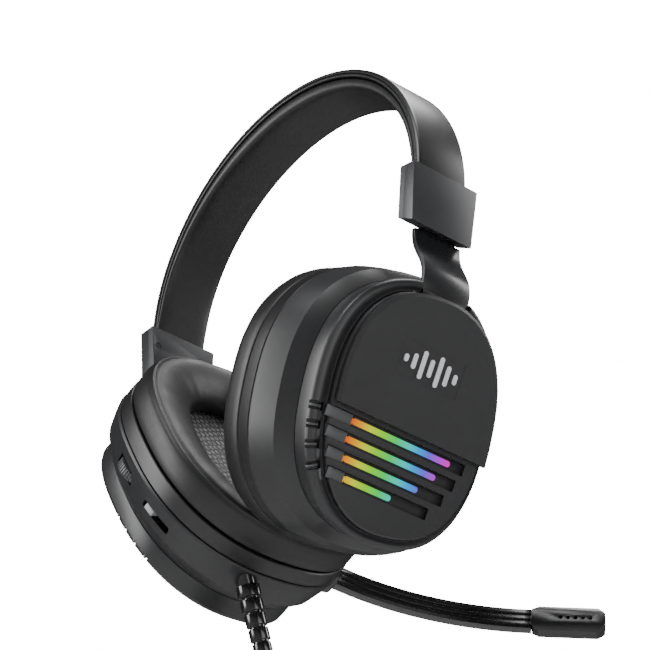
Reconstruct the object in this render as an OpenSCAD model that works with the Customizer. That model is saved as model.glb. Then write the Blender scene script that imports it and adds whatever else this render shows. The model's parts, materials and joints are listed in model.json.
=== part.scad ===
// Over-ear gaming headset with a boom microphone, glowing light bars and a USB lead.
// Origin: middle of the headband pad's underside. +Z up, -Y forwards, +X the wearer's left.

/* [Headband] */
// Half of the arch's outer width
arch_half_w = 85; // [80:0.5:100]
// Height of the arch's outer top above its widest line
arch_rise = 80; // [72:0.5:96]
// Width of the headband, front to back
band_w = 25; // [22:0.5:27]
// Thickness of cover, spring and pad together at the top
band_t_top = 10.7; // [8:0.1:13]
// The same thickness at the ends
band_t_end = 5.8; // [5.4:0.1:7]
// Thickness of the outer cover
cover_t = 2.2; // [1.8:0.1:2.4]
// Thickness of the steel spring band
spring_t = 0.8; // [0.5:0.1:1]
// Width of the steel spring band
spring_w = 14; // [10:0.5:16]

/* [End caps] */
// Width of a cap at its top
cap_w_top = 32.7; // [31:0.1:40]
// Width of a cap at its bottom
cap_w_bottom = 30.1; // [30:0.1:38]
// Height of a cap's outer face
cap_h = 25.8; // [24:0.1:34]
// How far the bottom edge rises from the outer face to the inner face
cap_slant = 3.6; // [0:0.1:5]
// How far the cap reaches past the start of the straight leg
cap_above = 6; // [4:0.5:8]
// How far the cap stands proud of the band, on the outside
cap_proud_out = 2; // [1.6:0.1:3]
// How far the cap stands proud of the band, on the inside
cap_proud_in = 0.7; // [0.6:0.1:2]
// Half the distance between a cap's two screws
cap_screw_y = 13.2; // [13:0.1:14]

/* [Yokes] */
// Width of the yoke's visible strip
yoke_w = 23; // [18:0.5:26]
// Thickness of the yoke's strip
yoke_t = 2; // [1.4:0.1:2.4]
// Width of the tongue that slides in the cap
tongue_w = 18; // [14:0.5:18.5]
// Thickness of that tongue
tongue_t = 1.6; // [1.2:0.1:1.7]
// How far the yoke slides out of the cap
slide_travel = 18; // [10:1:18]
// Radius of the yoke's hinge knuckle
knuckle_r = 3.2; // [2.8:0.1:3.4]
// Radius of the hinge pin
pin_r = 1.6; // [1.2:0.1:1.8]

/* [Ear cups] */
// Distance of a cup's centre from the middle plane
cup_x = 40.4; // [40:0.1:60]
// Cup centre behind (+) or ahead (-) of the headband's middle plane
cup_y = -2.6; // [-4:0.1:4]
// Depth of the cup's centre below the headband pad
cup_drop = 155; // [152:0.5:170]
// Inward lean of the cups' lower edges at rest
cup_tilt = 26; // [20:0.5:26]
// Backward lean of the cup outlines
cup_lean = 8; // [0:0.5:12]
// Half-width of the housing behind the ear
housing_rear = 53; // [52:0.5:64]
// Half-width of the housing ahead of the ear
housing_front = 49; // [48:0.5:60]
// Half-height of the housing
housing_half_h = 55; // [54:0.5:58]
// Depth of the housing
housing_d = 18; // [17:0.5:21]
// Depth of the outer ring
ring_d = 9.2; // [9:0.2:11]
// Wall thickness of the mouldings
wall = 2.2; // [1.6:0.1:2.6]
// Depth of the mount ring under the cushion
mount_d = 7; // [6:0.5:8]

/* [Outer face] */
// Half-width of the face plate
face_half_w = 36.2; // [34:0.2:37]
// Half-height of the face plate
face_half_h = 46.2; // [44:0.2:47]
// Thickness of the upper cover plate
cover_plate_t = 2.6; // [2:0.1:3]
// Height of the cover plate's straight lower edge
cover_edge_v = -6.5; // [-8:0.5:-4]
// Distance between two light bars
bar_pitch = 7; // [6:0.1:8]
// Width of a light bar
bar_w = 3; // [2:0.1:3.4]

/* [Cushions] */
// Thickness of an ear cushion
cushion_t = 13.6; // [10:0.2:14]
// Half-width of the ear opening
ear_half_w = 27; // [24:0.5:30]
// Half-height of the ear opening
ear_half_h = 33; // [30:0.5:36]

/* [Driver] */
// Radius of the speaker driver
driver_r = 20; // [16:0.5:21]
// Radius of the magnet
magnet_r = 11; // [8:0.5:14]

/* [Microphone] */
// Radius of the boom's bend, seen from above
boom_r = 116; // [100:1:130]
// Angle that the boom bends through
boom_bend = 40; // [34:1:46]
// Height of the boom's flat side
boom_h = 8.6; // [7:0.1:9]
// Thickness of the boom
boom_t = 4.6; // [4:0.1:5.4]
// Length of the microphone head
mic_l = 30; // [26:0.5:34]
// Radius of the boom's hub
hub_r = 8.4; // [7.4:0.1:8.6]

/* [Controls] */
// Radius of the volume wheel
wheel_r = 8; // [7:0.1:8.4]
// Thickness of the volume wheel
wheel_t = 3.4; // [3:0.1:3.8]
// Travel of the mute switch
switch_travel = 8; // [4:0.5:8]

/* [Lead] */
// Diameter of the lead
lead_d = 4.6; // [4.6:0.1:5]
// Length of the strain relief
relief_l = 33; // [28:1:36]

/* [Hidden] */

// Clearances: static fit, sliding fit and running fit
gap = 0.3;
slide_gap = 0.3;
run_gap = 0.05;

BLACK = [0.13, 0.13, 0.14];
DARK = [0.19, 0.19, 0.2];
GUNMETAL = [0.3, 0.3, 0.31];
STEEL = [0.7, 0.7, 0.72];
CLOTH = [0.22, 0.22, 0.22];
GLOW = [0.2, 0.9, 0.8];
BOARD = [0.1, 0.35, 0.2];

// ---- Headband arch: an ellipse about Y, then straight legs at its lower ends ----
spring_line = -(arch_rise - band_t_top);
leg_t = -5;
arch_steps = 48;
leg_tilt = atan2(-arch_half_w * sin(leg_t), arch_rise * cos(leg_t));
function arch_normal(t) =
    let (n = [arch_rise * cos(t), arch_half_w * sin(t)])
    n / norm(n);
function arch_at(t, depth) =
    [arch_half_w * cos(t), spring_line + arch_rise * sin(t)] - depth * arch_normal(t);
function band_t(t) =
    band_t_end + (band_t_top - band_t_end) * pow(max(0, sin(t)), 1.5);
leg_start = arch_at(leg_t, band_t_end / 2);
leg_down = [-sin(leg_tilt), -cos(leg_tilt)];

// One layer of the arch. Its two faces lie at depth a + b * band_t under the outer surface,
// and its ends stop end_up above the start of the legs (below it when negative).
function arch_edge(face, end_up) =
    let (
        t0 = leg_t + max(0, end_up) / arch_half_w * 180 / PI,
        run = [for (i = [0:arch_steps]) t0 + (180 - 2 * t0) * i / arch_steps],
        body = [for (t = run) arch_at(t, face[0] + face[1] * band_t(t))],
        drop = max(0, -end_up) * leg_down
    )
    end_up >= 0 ? body
    : concat([body[0] + drop], body, [body[arch_steps] + [-drop[0], drop[1]]]);
function flipped(p) = [for (i = [len(p) - 1:-1:0]) p[i]];
module arch_layer(outer, inner, w, end_up) {
    rotate([90, 0, 0])
        linear_extrude(w, center = true)
            polygon(concat(arch_edge(outer, end_up), flipped(arch_edge(inner, end_up))));
}

// ---- Placing things on the left or right side; the left side is at +X ----
LEFT = 1;
RIGHT = -1;
module on_side(side) {
    if (side == LEFT) children();
    else mirror([1, 0, 0]) children();
}
// Cap frame: x outwards, z up along the leg, origin in the middle of the band's end
module in_cap(side) {
    on_side(side)
        translate([leg_start[0], 0, leg_start[1]])
            rotate([0, leg_tilt, 0]) children();
}
// Cup frame: x outwards, y backwards, z up along the cup's face
module in_cup(side) {
    on_side(side)
        translate([cup_x, cup_y, -cup_drop])
            rotate([0, cup_tilt, 0]) children();
}
function cup_point(p) = [
    cup_x + p[0] * cos(cup_tilt) + p[2] * sin(cup_tilt),
    cup_y + p[1],
    -cup_drop - p[0] * sin(cup_tilt) + p[2] * cos(cup_tilt)
];

// ---- Cup outlines: a rounded oval, wider behind than ahead, leaning back ----
outline_steps = 48;
squareness = 2.4;
function rounded(c) = sign(c) * pow(abs(c), 2 / squareness);
function outline(rear, front, up, down) = [
    for (i = [0:outline_steps - 1])
        let (
            a = 360 * (i + 0.5) / outline_steps,
            u = (cos(a) > 0 ? rear : front) * rounded(cos(a)),
            v = (sin(a) > 0 ? up : down) * rounded(sin(a))
        )
        [u * cos(cup_lean) + v * sin(cup_lean), v * cos(cup_lean) - u * sin(cup_lean)]
];
// A section is [depth, rear, front, up, down]; inset() draws its outline in
function inset(s, by) = [s[0], s[1] - by, s[2] - by, s[3] - by, s[4] - by];
function at_depth(s, d) = [d, s[1], s[2], s[3], s[4]];
function section_ring(s) = [for (p = outline(s[1], s[2], s[3], s[4])) [s[0], p[0], p[1]]];
// Triangles of the wall between ring k and ring j, each of n points
function ring_wall(k, j, n) = [
    for (i = [0:n - 1])
        let (h = (i + 1) % n)
        each [[k * n + i, j * n + h, k * n + h], [k * n + i, j * n + i, j * n + h]]
];
function ring_walls(m, n) = [for (k = [0:m - 2]) each ring_wall(k, k + 1, n)];
function ring_ends(m, n) = [[for (i = [0:n - 1]) i], [for (i = [n - 1:-1:0]) (m - 1) * n + i]];
module loft(sections) {
    n = outline_steps;
    m = len(sections);
    points = [for (s = sections) each section_ring(s)];
    polyhedron(points, concat(ring_walls(m, n), ring_ends(m, n)), convexity = 4);
}
module plate(s, t) {
    translate([s[0], 0, 0])
        rotate([90, 0, 90])
            linear_extrude(t) polygon(outline(s[1], s[2], s[3], s[4]));
}

housing_in = [0, housing_rear, housing_front, housing_half_h, housing_half_h - 1];
housing_edge = [housing_d - 5.5, housing_rear - 4, housing_front - 4, housing_half_h - 1, housing_half_h - 2.5];
housing_out = [housing_d, housing_rear - 9, housing_front - 8, housing_half_h - 5, housing_half_h - 6];
rim_start = housing_d + 0.2;
rim_top = rim_start + ring_d;
rim_in = at_depth(inset(housing_out, 0.2), rim_start);
rim_edge = [rim_top - 1.2, housing_rear - 9.4, housing_front - 10.2, housing_half_h - 4, housing_half_h - 4.6];
rim_out = at_depth(inset(rim_edge, 1.2), rim_top);
face_out = [rim_top + 1.2, face_half_w, face_half_w, face_half_h, face_half_h];
flange_d = rim_top - 4.6;
flange_room = 0.9;
flange = at_depth(inset(rim_edge, wall + flange_room), flange_d);
floor_t = 2.2;
floor_d = housing_d - floor_t;

// ---- Headband ----
module headband_cover() {
    color(BLACK) arch_layer([0, 0], [cover_t, 0], band_w, -1.5);
}
module spring_band() {
    top = cover_t + 0.15;
    color(STEEL) arch_layer([top, 0], [top + spring_t, 0], spring_w, -9);
}
pad_stop = 2.2;
module headband_pad() {
    top = cover_t + spring_t + 0.3;
    color(DARK) arch_layer([top, 0], [0, 1], band_w - 0.6, cap_above + pad_stop);
}

cap_out = band_t_end / 2 + cap_proud_out;
cap_in = -(band_t_end / 2 + cap_proud_in);
cap_bottom = cap_above - cap_h;
tongue_out = band_t_end / 2 - cover_t - 0.15 - spring_t - 0.35;
tongue_top = cap_above - 0.8;
tongue_y = cup_y;
module cap_body() {
    w1 = cap_w_top / 2;
    w2 = cap_w_bottom / 2;
    intersection() {
        rotate([90, 0, 90])
            translate([0, 0, cap_in])
                linear_extrude(cap_out - cap_in)
                    polygon([[-w2, cap_bottom], [w2, cap_bottom], [w1, cap_above], [-w1, cap_above]]);
        rotate([90, 0, 0])
            linear_extrude(cap_w_top + 2, center = true)
                polygon([
                    [cap_in, cap_bottom + cap_slant], [cap_out, cap_bottom],
                    [cap_out - 0.6, cap_above], [cap_in, cap_above]
                ]);
    }
}
module cap_pockets() {
    band_out = band_t_end / 2;
    // socket for the cover's end
    translate([band_out - cover_t - gap / 2, -band_w / 2 - gap, -2])
        cube([cover_t + gap, band_w + 2 * gap, 20]);
    // socket for the spring band
    translate([band_out - cover_t - 0.3 - spring_t, -spring_w / 2 - gap, -9.4])
        cube([spring_t + 0.4, spring_w + 2 * gap, 30]);
    // channel for the sliding tongue, open at the bottom
    translate([tongue_out - tongue_t - slide_gap, tongue_y - tongue_w / 2 - slide_gap, cap_bottom - 2])
        cube([tongue_t + 1.5 * slide_gap, tongue_w + 2 * slide_gap, tongue_top - cap_bottom + 2.3]);
    // seat for the detent spring
    translate([tongue_out, tongue_y - 4.3, cap_bottom + 4])
        cube([1.2, 8.6, 6.6]);
    for (s = [-1, 1])
        translate([cap_in - 1, s * cap_screw_y, cap_screw_z]) {
            rotate([0, 90, 0]) cylinder(r = screw_r + run_gap, h = cap_out - cap_in - 0.6, $fn = 32);
            rotate([0, 90, 0]) cylinder(r = screw_head_r + 0.1, h = screw_head_h + 1.2, $fn = 32);
        }
}
screw_r = 0.8;
screw_head_r = 1.5;
screw_head_h = 1;
cap_screw_z = cap_above - 9;
module cap_outer(side) {
    color(GUNMETAL) in_cap(side) difference() {
        cap_body();
        cap_pockets();
        translate([cap_in - 30 + tongue_out, -30, -60]) cube([30 - cap_in, 60, 120]);
    }
}
module cap_inner(side) {
    color(DARK) in_cap(side) difference() {
        cap_body();
        cap_pockets();
        translate([tongue_out - 0.05, -30, -60]) cube([30, 60, 120]);
    }
}
module screw(l) {
    rotate([0, 90, 0]) cylinder(r = screw_head_r, h = screw_head_h, $fn = 32);
    rotate([0, 90, 0]) cylinder(r = screw_r, h = l, $fn = 32);
}
module cap_screws() {
    color(STEEL) for (side = [RIGHT, LEFT], s = [-1, 1])
        in_cap(side)
            translate([cap_in + 0.2, s * cap_screw_y, cap_screw_z]) screw(cap_out - cap_in - 2);
}
module detent_springs() {
    color(STEEL) for (side = [RIGHT, LEFT])
        in_cap(side)
            translate([tongue_out + 0.45, tongue_y, cap_bottom + 7.3]) {
                translate([0, -4, -3]) cube([0.4, 8, 6]);
                rotate([90, 0, 0]) cylinder(r = 0.3, h = 6, center = true, $fn = 24);
            }
}

// ---- Yokes: a tongue in the cap, an S-bent strip and a hinge knuckle in the cup ----
pivot_d = rim_top - 2.4;
pivot_v = face_half_h - 2.4;
pivot = cup_point([pivot_d, 0, pivot_v]);
function cap_point(u, w) = [
    leg_start[0] + u * cos(leg_tilt) + w * sin(leg_tilt),
    leg_start[1] - u * sin(leg_tilt) + w * cos(leg_tilt)
];
yoke_top = cap_point(tongue_out - tongue_t / 2, cap_bottom + 1);
yoke_bottom = [pivot[0], pivot[2]];
function bend(a, b, c, d, t) =
    pow(1 - t, 3) * a + 3 * pow(1 - t, 2) * t * b + 3 * (1 - t) * t * t * c + pow(t, 3) * d;
function bend_dir(a, b, c, d, t) =
    let (v = 3 * pow(1 - t, 2) * (b - a) + 6 * (1 - t) * t * (c - b) + 3 * t * t * (d - c))
    v / norm(v);
yoke_reach = norm(yoke_top - yoke_bottom);
cup_up = [sin(cup_tilt), cos(cup_tilt)];
yoke_curve = [
    yoke_top,
    yoke_top + leg_down * 0.42 * yoke_reach,
    yoke_bottom + cup_up * 0.55 * yoke_reach,
    yoke_bottom
];
yoke_steps = 20;
function yoke_side(s) = [
    for (i = [0:yoke_steps])
        let (
            t = i / yoke_steps,
            c = yoke_curve,
            d = bend_dir(c[0], c[1], c[2], c[3], t)
        )
        bend(c[0], c[1], c[2], c[3], t) + s * yoke_t / 2 * [-d[1], d[0]]
];
module yoke(side) {
    color(DARK) {
        in_cap(side)
            translate([tongue_out - tongue_t, tongue_y - tongue_w / 2, cap_bottom - 1])
                cube([tongue_t, tongue_w, tongue_top - cap_bottom + 1]);
        on_side(side) difference() {
            union() {
                translate([0, cup_y, 0]) rotate([90, 0, 0])
                    linear_extrude(yoke_w, center = true)
                        polygon(concat(yoke_side(1), flipped(yoke_side(-1))));
                translate([pivot[0], cup_y, pivot[2]]) rotate([90, 0, 0])
                    cylinder(r = knuckle_r, h = yoke_w, center = true, $fn = 48);
            }
            translate([pivot[0], cup_y, pivot[2]]) rotate([90, 0, 0])
                cylinder(r = pin_r + run_gap, h = yoke_w + 2, center = true, $fn = 48);
        }
    }
}
ear_y = yoke_w / 2 + 0.6;
ear_t = 3.4;
module yoke_pin(side) {
    color(STEEL) in_cup(side) translate([pivot_d, 0, pivot_v]) rotate([90, 0, 0])
        cylinder(r = pin_r, h = 2 * (ear_y + ear_t) - 0.6, center = true, $fn = 48);
}

// ---- Ear cups ----
module housing(side) {
    color(BLACK) in_cup(side) difference() {
        union() {
            loft([at_depth(housing_in, gap), housing_edge, housing_out]);
            if (side == LEFT) hub_disc(cheek_r, hub_w + 2 * gap + 2 * cheek_t);
        }
        difference() {
            loft([
                at_depth(inset(housing_in, wall), gap), inset(housing_edge, wall),
                at_depth(inset(housing_edge, wall + 2.6), floor_d)
            ]);
            for (p = boss_places) translate([2.2, p[0], p[1]]) rotate([0, 90, 0])
                cylinder(r = boss_r, h = 30, $fn = 32);
            if (side == LEFT) {
                hub_disc(hub_r + 2, hub_w + 2 * gap + 2 * cheek_t);
                relief_at() cylinder(r = relief_r1 + 3, h = 8, center = true, $fn = 48);
            }
        }
        // way through for the wires
        translate([floor_d - 1, 0, -12]) rotate([0, 90, 0]) cylinder(r = 7, h = 10, $fn = 48);
        for (p = boss_places) translate([0, p[0], p[1]]) rotate([0, 90, 0])
            cylinder(r = screw_r + run_gap, h = 13.2, $fn = 32);
        if (side == LEFT) left_cuts();
    }
}
boss_r = 2.6;
boss_places = [[34, 26], [-32, 26], [31, -20], [-30, -30]];
module left_cuts() {
    // window for the volume wheel
    translate([wheel_d, wheel_y, wheel_v]) rotate([0, 90, 0])
        cylinder(r = wheel_r + gap, h = wheel_t + 2 * gap, center = true, $fn = 64);
    // slot for the mute switch
    translate([switch_d, switch_y, switch_v]) rotate([switch_turn, 0, 0])
        cube([knob_w + 2 * gap, 9, knob_l + switch_travel + 2 * slot_end], center = true);
    // pocket for the boom's hub, and the bore of its pin
    hub_disc(hub_r + gap, hub_w + 2 * gap);
    hub_disc(hub_pin_r + run_gap, hub_w + 2 * gap + 2 * cheek_t + 1);
    // hole for the strain relief
    relief_at() cylinder(r = relief_neck_r + 0.1, h = 14, center = true, $fn = 48);
}
module outer_ring(side) {
    slot_w = yoke_w + 1.2;
    color(DARK) in_cup(side) difference() {
        loft([rim_in, rim_edge, rim_out]);
        difference() {
            loft([
                inset(rim_in, wall), inset(rim_edge, wall),
                at_depth(inset(rim_edge, wall), rim_top)
            ]);
            // ears that hold the yoke's hinge pin
            for (s = [-1, 1])
                translate([rim_start + 1, s * (ear_y + ear_t / 2) - ear_t / 2, pivot_v - 5])
                    cube([flange_d - rim_start + 3.2, ear_t, 16]);
        }
        translate([pivot_d, 0, pivot_v]) rotate([90, 0, 0])
            cylinder(r = pin_r + run_gap, h = 2 * (ear_y + ear_t) - 0.5, center = true, $fn = 48);
        translate([pivot_d - 3.4, -slot_w / 2, pivot_v - 6]) cube([20, slot_w, 20]);
    }
}
module yoke_clearance() {
    w = 2 * (ear_y + ear_t) + 1;
    translate([rim_start, -w / 2, pivot_v - knuckle_r - 1.4]) cube([rim_top - rim_start + 1.6, w, 30]);
}
// Rows of light bars: [rear end, front end, channel's front end]
bar_rows = [[23.5, -25, -31], [23.5, -20.5, -29], [22, -14.5, -26], [19, -4, -21]];
channel_w = 4.6;
channel_rear = 37;
function bar_v(k) = cover_edge_v - 4 - k * bar_pitch;
module face_plate(side) {
    color(BLACK) in_cup(side) difference() {
        union() {
            plate(flange, 1.6);
            loft([at_depth(inset(face_out, -0.6), flange_d), at_depth(face_out, rim_top + 0.6), inset(face_out, 0.6)]);
        }
        plate(at_depth(inset(face_out, 2.4), flange_d - 1), rim_top - flange_d);
        yoke_clearance();
        for (k = [0:3]) {
            r = bar_rows[k];
            l = channel_rear - r[2] - 3 * k;
            translate([face_out[0] - 1.4, r[2], bar_v(k) - channel_w / 2]) cube([5, l, channel_w]);
            // windows that the light bars sit in
            translate([rim_top - 2, r[1], bar_v(k) - bar_w / 2 - 0.15]) cube([3, r[0] - r[1], bar_w + 0.3]);
        }
    }
}
module cover_plate(side) {
    t0 = face_out[0] + 0.1;
    color(DARK) in_cup(side) difference() {
        intersection() {
            loft([
                [t0, face_half_w - 1, face_half_w + 2, face_half_h - 0.4, face_half_h],
                [t0 + cover_plate_t - 1, face_half_w - 1, face_half_w + 2, face_half_h - 0.4, face_half_h],
                [t0 + cover_plate_t, face_half_w - 2.4, face_half_w + 0.6, face_half_h - 1.8, face_half_h]
            ]);
            translate([t0 - 1, -60, cover_edge_v]) cube([20, 120, 100]);
        }
        translate([t0 + cover_plate_t - 0.5, badge_y - 15, badge_v - 7]) cube([2, 30, 14]);
    }
}
badge_y = 0;
badge_v = 19;
badge_bars = [4, 8, 12, 7, 11, 6, 3];
module wave_badge(side) {
    t0 = face_out[0] + 0.1 + cover_plate_t - 0.5;
    color(STEEL) in_cup(side) translate([t0, badge_y, badge_v]) {
        translate([0, -14.8, -6.8]) cube([0.3, 29.6, 13.6]);
        for (i = [0:6]) translate([0.15, (i - 3) * 4, 0]) rotate([0, 90, 0]) {
            h = badge_bars[i];
            translate([0, 0, 0.35]) cube([h - 2, 2, 0.7], center = true);
            for (s = [-1, 1]) translate([s * (h - 2) / 2, 0, 0]) cylinder(r = 1, h = 0.7, $fn = 24);
        }
    }
}
module light_bars(side) {
    color(GLOW) in_cup(side) for (k = [0:3]) {
        r = bar_rows[k];
        b = bar_w / 2;
        for (y = [r[0] - b - 0.2, r[1] + b + 0.2])
            translate([rim_top - 1.6, y, bar_v(k)]) rotate([0, 90, 0]) cylinder(r = b, h = 1.7, $fn = 32);
        translate([rim_top - 1.6, r[1] + b + 0.2, bar_v(k) - b]) cube([1.7, r[0] - r[1] - 2 * b - 0.4, 2 * b]);
    }
}
module light_board(side) {
    color(BOARD) in_cup(side) {
        intersection() {
            plate(at_depth(inset(face_out, 3), flange_d - 1.9), 1.2);
            translate([0, -40, bar_v(3) - 3]) cube([60, 80, 3 * bar_pitch + 6]);
        }
        for (k = [0:3], i = [0:5]) {
            y = bar_rows[k][1] + 3 + i * (bar_rows[k][0] - bar_rows[k][1] - 6) / 5;
            translate([flange_d - 0.8, y - 0.8, bar_v(k) - 0.8]) cube([0.9, 1.6, 1.6]);
        }
    }
}
module mount_ring(side) {
    color(BLACK) in_cup(side) difference() {
        loft([
            at_depth(inset(housing_in, 0.7), -mount_d), at_depth(inset(housing_in, 0.5), -mount_d / 2),
            at_depth(inset(housing_in, 0.7), 0)
        ]);
        plate(at_depth(inset(housing_in, 4.2), -mount_d - 1), mount_d + 3);
        // room for the collar that holds the strain relief
        if (side == LEFT)
            relief_at() cylinder(r = relief_collar_r + gap, h = 14, center = true, $fn = 48);
    }
}
baffle_t = 2;
baffle_d = -4.6;
driver_v = 2;
module baffle(side) {
    color(DARK) in_cup(side) difference() {
        plate(at_depth(inset(housing_in, 4.6), baffle_d), baffle_t);
        translate([baffle_d - 1, 0, driver_v]) rotate([0, 90, 0]) cylinder(r = driver_r - 2, h = 6, $fn = 64);
        for (p = boss_places) translate([baffle_d - 1, p[0], p[1]]) rotate([0, 90, 0])
            cylinder(r = screw_r + run_gap, h = 6, $fn = 32);
    }
}
module driver_frame(side) {
    d0 = baffle_d + baffle_t + 0.1;
    color(DARK) in_cup(side) translate([d0, 0, driver_v]) rotate([0, 90, 0]) difference() {
        union() {
            cylinder(r = driver_r, h = 2, $fn = 64);
            cylinder(r = driver_r - 3, h = 5, $fn = 64);
        }
        translate([0, 0, -1]) cylinder(r = driver_r - 4.4, h = 4.4, $fn = 64);
        for (a = [0:60:300]) rotate(a) translate([magnet_r + 2, 0, 0]) cylinder(r = 1.4, h = 9, $fn = 24);
    }
}
module driver_magnet(side) {
    d0 = baffle_d + baffle_t + 5.2;
    color(STEEL) in_cup(side) translate([d0, 0, driver_v]) rotate([0, 90, 0])
        cylinder(r = magnet_r, h = 4.6, $fn = 48);
}
module driver_cone(side) {
    d0 = baffle_d + baffle_t + 0.4;
    color(CLOTH) in_cup(side) translate([d0, 0, driver_v]) rotate([0, 90, 0]) {
        cylinder(r = driver_r - 4.8, h = 0.4, $fn = 64);
        cylinder(r = magnet_r - 3, h = 2.4, $fn = 48);
    }
}
module cup_screws(side) {
    color(STEEL) in_cup(side) for (p = boss_places)
        translate([baffle_d - screw_head_h - 0.1, p[0], p[1]]) screw(14);
}
module speaker_cloth(side) {
    color(CLOTH) in_cup(side)
        plate([-mount_d + 0.2, ear_half_w + 4, ear_half_w + 4, ear_half_h + 4, ear_half_h + 4], 0.6);
}

// Cushion: a rounded ring swept round the cup's outline. A profile point is
// [depth behind the mount ring, share of the way from the outer wall to the ear opening].
cushion_profile = [
    [0, 0.1], [0.1, 0.03], [0.35, 0.0], [0.65, 0.03], [0.86, 0.13], [0.97, 0.3], [1, 0.5],
    [0.96, 0.7], [0.82, 0.86], [0.6, 0.96], [0.3, 1], [0.05, 0.98], [0, 0.9]
];
module ear_cushion(side) {
    n = outline_steps;
    m = len(cushion_profile);
    s = inset(housing_in, 1);
    points = [
        for (q = cushion_profile)
            let (mix = [for (i = [1:4]) s[i] * (1 - q[1]) + [0, ear_half_w, ear_half_w, ear_half_h, ear_half_h][i] * q[1]])
            each section_ring([-mount_d - gap - q[0] * cushion_t, mix[0], mix[1], mix[2], mix[3]])
    ];
    faces = concat(ring_walls(m, n), ring_wall(m - 1, 0, n));
    color(DARK) in_cup(side) polyhedron(points, [for (f = faces) flipped(f)], convexity = 6);
}

// ---- Left cup: controls, microphone and lead ----
wheel_d = 7.6;
wheel_v = -6;
wheel_y = housing_rear - 8.4;
switch_d = 7.6;
switch_v = -31;
switch_y = housing_rear - 13;
switch_turn = -24;
knob_w = 2.6;
knob_l = 5;
slot_end = 1.5;
module volume_wheel() {
    teeth = 40;
    tooth_gap_h = 0.8;
    tooth_gap_w = 0.5;
    color(BLACK) in_cup(LEFT) translate([wheel_d, wheel_y, wheel_v]) rotate([0, 90, 0]) difference() {
        cylinder(r = wheel_r, h = wheel_t, center = true, $fn = 64);
        for (i = [0:teeth - 1]) rotate(i * 360 / teeth) translate([wheel_r, 0, 0])
            cube([tooth_gap_h, tooth_gap_w, wheel_t + 2], center = true);
        cylinder(r = axle_r + run_gap, h = 10, center = true, $fn = 32);
    }
}
axle_r = 1.2;
module wheel_axle() {
    color(STEEL) in_cup(LEFT) translate([0.6, wheel_y, wheel_v]) rotate([0, 90, 0])
        cylinder(r = axle_r, h = 11, $fn = 32);
}
module control_board() {
    color(BOARD) in_cup(LEFT) difference() {
        union() {
            translate([1.2, 18.4, -30]) cube([1.2, 18, 34]);
            translate([1.2, 18.4, -12]) cube([1.2, 29, 16]);
        }
        translate([0, wheel_y, wheel_v]) rotate([0, 90, 0]) cylinder(r = axle_r, h = 4, $fn = 32);
        for (p = boss_places) translate([0, p[0], p[1]]) rotate([0, 90, 0])
            cylinder(r = boss_r, h = 5, $fn = 32);
    }
}
module mute_switch() {
    color(STEEL) in_cup(LEFT) translate([switch_d, switch_y, switch_v]) rotate([switch_turn, 0, 0]) {
        translate([0, -0.8, switch_travel / 2]) cube([knob_w, 8, knob_l], center = true);
        translate([0, -5.4, switch_travel / 2]) cube([5, 3, 6], center = true);
    }
}

// The boom lies in a plane that drops a little towards the mouth. Its hub turns on a pin
// along the cup's depth, sunk in the front of the housing.
hub_d = 9.4;
hub_w = 8;
hub_y = -(housing_front - 3);
hub_v = -18.5;
hub_pin_r = 2;
cheek_r = 5;
cheek_t = 1.8;
hub = cup_point([hub_d, hub_y, hub_v]);
boom_drop = 4.8;
boom_turn = -6;
boom_lead = 12;
module hub_disc(r, h) {
    translate([hub_d, hub_y, hub_v]) rotate([0, 90, 0]) cylinder(r = r, h = h, center = true, $fn = 64);
}
module at_hub() {
    translate(hub) rotate([boom_drop, 0, 0]) rotate(boom_turn) children();
}
// Plan view of the boom: starts at the hub heading forwards, then bends inwards
module boom_outline(t) {
    translate([-t / 2, -boom_lead]) square([t, boom_lead]);
    translate([-boom_r, -boom_lead]) difference() {
        circle(r = boom_r + t / 2, $fn = 180);
        circle(r = boom_r - t / 2, $fn = 180);
        translate([-boom_r * 2, 0]) square(boom_r * 4);
        rotate(-boom_bend) translate([-boom_r * 2, -boom_r * 4]) square(boom_r * 4);
    }
}
tenon_l = 6;
module mic_boom() {
    color(BLACK) difference() {
        union() {
            in_cup(LEFT) hub_disc(hub_r, hub_w);
            at_hub() {
                linear_extrude(boom_h, center = true) boom_outline(boom_t);
                for (s = [-1, 0, 1]) translate([0, 0, s * boom_h / 3.4])
                    linear_extrude(1.2, center = true) boom_outline(boom_t + 0.8);
            }
            at_mic() translate([-1.5, -tenon_l, -2.5]) cube([3, tenon_l + 1, 5]);
        }
        in_cup(LEFT) hub_disc(hub_pin_r + run_gap, hub_w + 10);
    }
}
module mic_hub_pin() {
    color(STEEL) in_cup(LEFT) hub_disc(hub_pin_r, hub_w + 2 * gap + 2 * cheek_t);
}
module at_mic() {
    at_hub() translate([-boom_r, -boom_lead, 0]) rotate(-boom_bend) translate([boom_r, 0, 0]) children();
}
mic_h = 11;
mic_t = 9;
mic_skin = 1.2;
module mic_block(half, grow) {
    c = 3;
    h = mic_h / 2 + grow;
    intersection() {
        rotate([90, 0, 0]) linear_extrude(mic_l + grow)
            polygon([[0, -h], [half * (mic_t / 2 + grow - 1.4), -h], [half * (mic_t / 2 + grow), -h + 2],
                [half * (mic_t / 2 + grow), h - 2], [half * (mic_t / 2 + grow - 1.4), h], [0, h]]);
        rotate([0, 90, 0]) linear_extrude(60, center = true)
            polygon([[-h, -mic_l - grow + c], [-h + c, -mic_l - grow], [h - c, -mic_l - grow], [h, -mic_l - grow + c],
                [h, -c], [h - c, 1], [-h + c, 1], [-h, -c]]);
    }
}
module mic_half(half) {
    difference() {
        mic_block(half, 0);
        translate([-(mic_t / 2 - mic_skin), -(mic_l - 2), -(mic_h / 2 - 1.6)])
            cube([mic_t - 2 * mic_skin, mic_l - 10, mic_h - 3.2]);
        // socket for the boom's end
        translate([-1.6, -tenon_l - 0.1, -2.6]) cube([3.2, tenon_l + 2, 5.2]);
    }
}
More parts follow.
